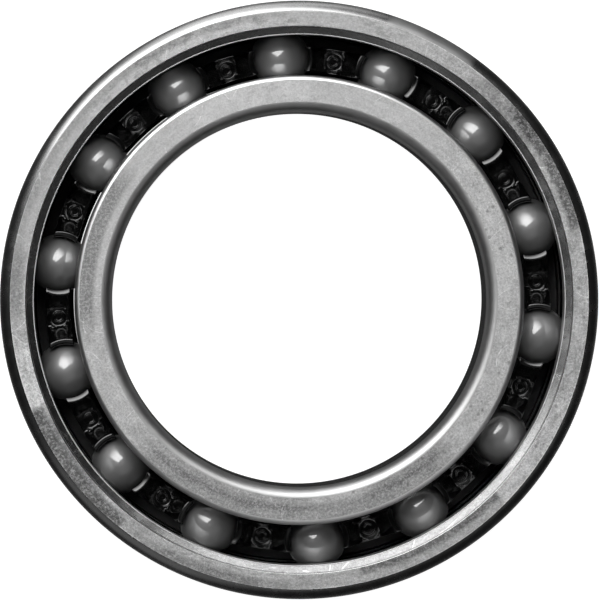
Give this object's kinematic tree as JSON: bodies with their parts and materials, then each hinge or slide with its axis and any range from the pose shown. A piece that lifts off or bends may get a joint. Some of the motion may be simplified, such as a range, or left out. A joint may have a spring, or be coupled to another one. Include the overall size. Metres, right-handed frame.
{
  "type": "ball bearing",
  "caption": "Single-row deep-groove ball bearing with steel rings, ceramic balls, a black polymer crown cage and a rear seal; the front is open and the inner ring, cage and balls turn.",
  "frame": {"origin": "centre of the bearing: on its axis, midway between its two flat sides", "axes": "+Z along the bearing axis, out of the open front, where the cage's claw tips show; the seal is at -Z; X and Y in the middle plane"},
  "size_m": [0.024, 0.024, 0.005],
  "materials": {
    "outer_ring_steel": "satin",
    "inner_ring_steel": "satin",
    "cage_polymer": "gloss",
    "seal_rubber": "matte",
    "seal_steel": "satin",
    "ball_ceramic": "polished"
  },
  "bodies": {
    "outer_ring": {"outer_ring": "outer_ring_steel", "rear_seal": "seal_rubber", "rear_seal_plate": "seal_steel"},
    "inner_ring": {"inner_ring": "inner_ring_steel"},
    "cage": {"cage": "cage_polymer"},
    "ball_01": {"ball_01": "ball_ceramic"},
    "ball_02": {"ball_02": "ball_ceramic"},
    "ball_03": {"ball_03": "ball_ceramic"},
    "ball_04": {"ball_04": "ball_ceramic"},
    "ball_05": {"ball_05": "ball_ceramic"},
    "ball_06": {"ball_06": "ball_ceramic"},
    "ball_07": {"ball_07": "ball_ceramic"},
    "ball_08": {"ball_08": "ball_ceramic"},
    "ball_09": {"ball_09": "ball_ceramic"},
    "ball_10": {"ball_10": "ball_ceramic"},
    "ball_11": {"ball_11": "ball_ceramic"},
    "ball_12": {"ball_12": "ball_ceramic"},
    "ball_13": {"ball_13": "ball_ceramic"},
    "ball_14": {"ball_14": "ball_ceramic"}
  },
  "joints": [
    {"name": "inner_ring_spin", "type": "hinge", "parent": "outer_ring", "child": "inner_ring", "pos_m": [0, 0, 0], "axis": [0, 0, 1], "continuous": true},
    {"name": "cage_spin", "type": "hinge", "parent": "outer_ring", "child": "cage", "pos_m": [0, 0, 0], "axis": [0, 0, 1], "continuous": true},
    {"name": "ball_01_spin", "type": "hinge", "parent": "cage", "child": "ball_01", "pos_m": [0.00964, -0.00146, 0], "axis": [0, 0, 1], "continuous": true},
    {"name": "ball_02_spin", "type": "hinge", "parent": "cage", "child": "ball_02", "pos_m": [0.00932, 0.00287, 0], "axis": [0, 0, 1], "continuous": true},
    {"name": "ball_03_spin", "type": "hinge", "parent": "cage", "child": "ball_03", "pos_m": [0.00715, 0.00663, 0], "axis": [0, 0, 1], "continuous": true},
    {"name": "ball_04_spin", "type": "hinge", "parent": "cage", "child": "ball_04", "pos_m": [0.00357, 0.00907, 0], "axis": [0, 0, 1], "continuous": true},
    {"name": "ball_05_spin", "type": "hinge", "parent": "cage", "child": "ball_05", "pos_m": [-0.00072, 0.00972, 0], "axis": [0, 0, 1], "continuous": true},
    {"name": "ball_06_spin", "type": "hinge", "parent": "cage", "child": "ball_06", "pos_m": [-0.00487, 0.00845, 0], "axis": [0, 0, 1], "continuous": true},
    {"name": "ball_07_spin", "type": "hinge", "parent": "cage", "child": "ball_07", "pos_m": [-0.00805, 0.0055, 0], "axis": [0, 0, 1], "continuous": true},
    {"name": "ball_08_spin", "type": "hinge", "parent": "cage", "child": "ball_08", "pos_m": [-0.00964, 0.00146, 0], "axis": [0, 0, 1], "continuous": true},
    {"name": "ball_09_spin", "type": "hinge", "parent": "cage", "child": "ball_09", "pos_m": [-0.00932, -0.00287, 0], "axis": [0, 0, 1], "continuous": true},
    {"name": "ball_10_spin", "type": "hinge", "parent": "cage", "child": "ball_10", "pos_m": [-0.00715, -0.00663, 0], "axis": [0, 0, 1], "continuous": true},
    {"name": "ball_11_spin", "type": "hinge", "parent": "cage", "child": "ball_11", "pos_m": [-0.00357, -0.00907, 0], "axis": [0, 0, 1], "continuous": true},
    {"name": "ball_12_spin", "type": "hinge", "parent": "cage", "child": "ball_12", "pos_m": [0.00072, -0.00972, 0], "axis": [0, 0, 1], "continuous": true},
    {"name": "ball_13_spin", "type": "hinge", "parent": "cage", "child": "ball_13", "pos_m": [0.00487, -0.00845, 0], "axis": [0, 0, 1], "continuous": true},
    {"name": "ball_14_spin", "type": "hinge", "parent": "cage", "child": "ball_14", "pos_m": [0.00805, -0.0055, 0], "axis": [0, 0, 1], "continuous": true}
  ],
  "couplings": [
    {"joint": "cage_spin", "follows": "inner_ring_spin", "ratio": 0.43895},
    {"joint": "ball_01_spin", "follows": "inner_ring_spin", "ratio": -4.0339},
    {"joint": "ball_02_spin", "follows": "inner_ring_spin", "ratio": -4.0339},
    {"joint": "ball_03_spin", "follows": "inner_ring_spin", "ratio": -4.0339},
    {"joint": "ball_04_spin", "follows": "inner_ring_spin", "ratio": -4.0339},
    {"joint": "ball_05_spin", "follows": "inner_ring_spin", "ratio": -4.0339},
    {"joint": "ball_06_spin", "follows": "inner_ring_spin", "ratio": -4.0339},
    {"joint": "ball_07_spin", "follows": "inner_ring_spin", "ratio": -4.0339},
    {"joint": "ball_08_spin", "follows": "inner_ring_spin", "ratio": -4.0339},
    {"joint": "ball_09_spin", "follows": "inner_ring_spin", "ratio": -4.0339},
    {"joint": "ball_10_spin", "follows": "inner_ring_spin", "ratio": -4.0339},
    {"joint": "ball_11_spin", "follows": "inner_ring_spin", "ratio": -4.0339},
    {"joint": "ball_12_spin", "follows": "inner_ring_spin", "ratio": -4.0339},
    {"joint": "ball_13_spin", "follows": "inner_ring_spin", "ratio": -4.0339},
    {"joint": "ball_14_spin", "follows": "inner_ring_spin", "ratio": -4.0339}
  ]
}
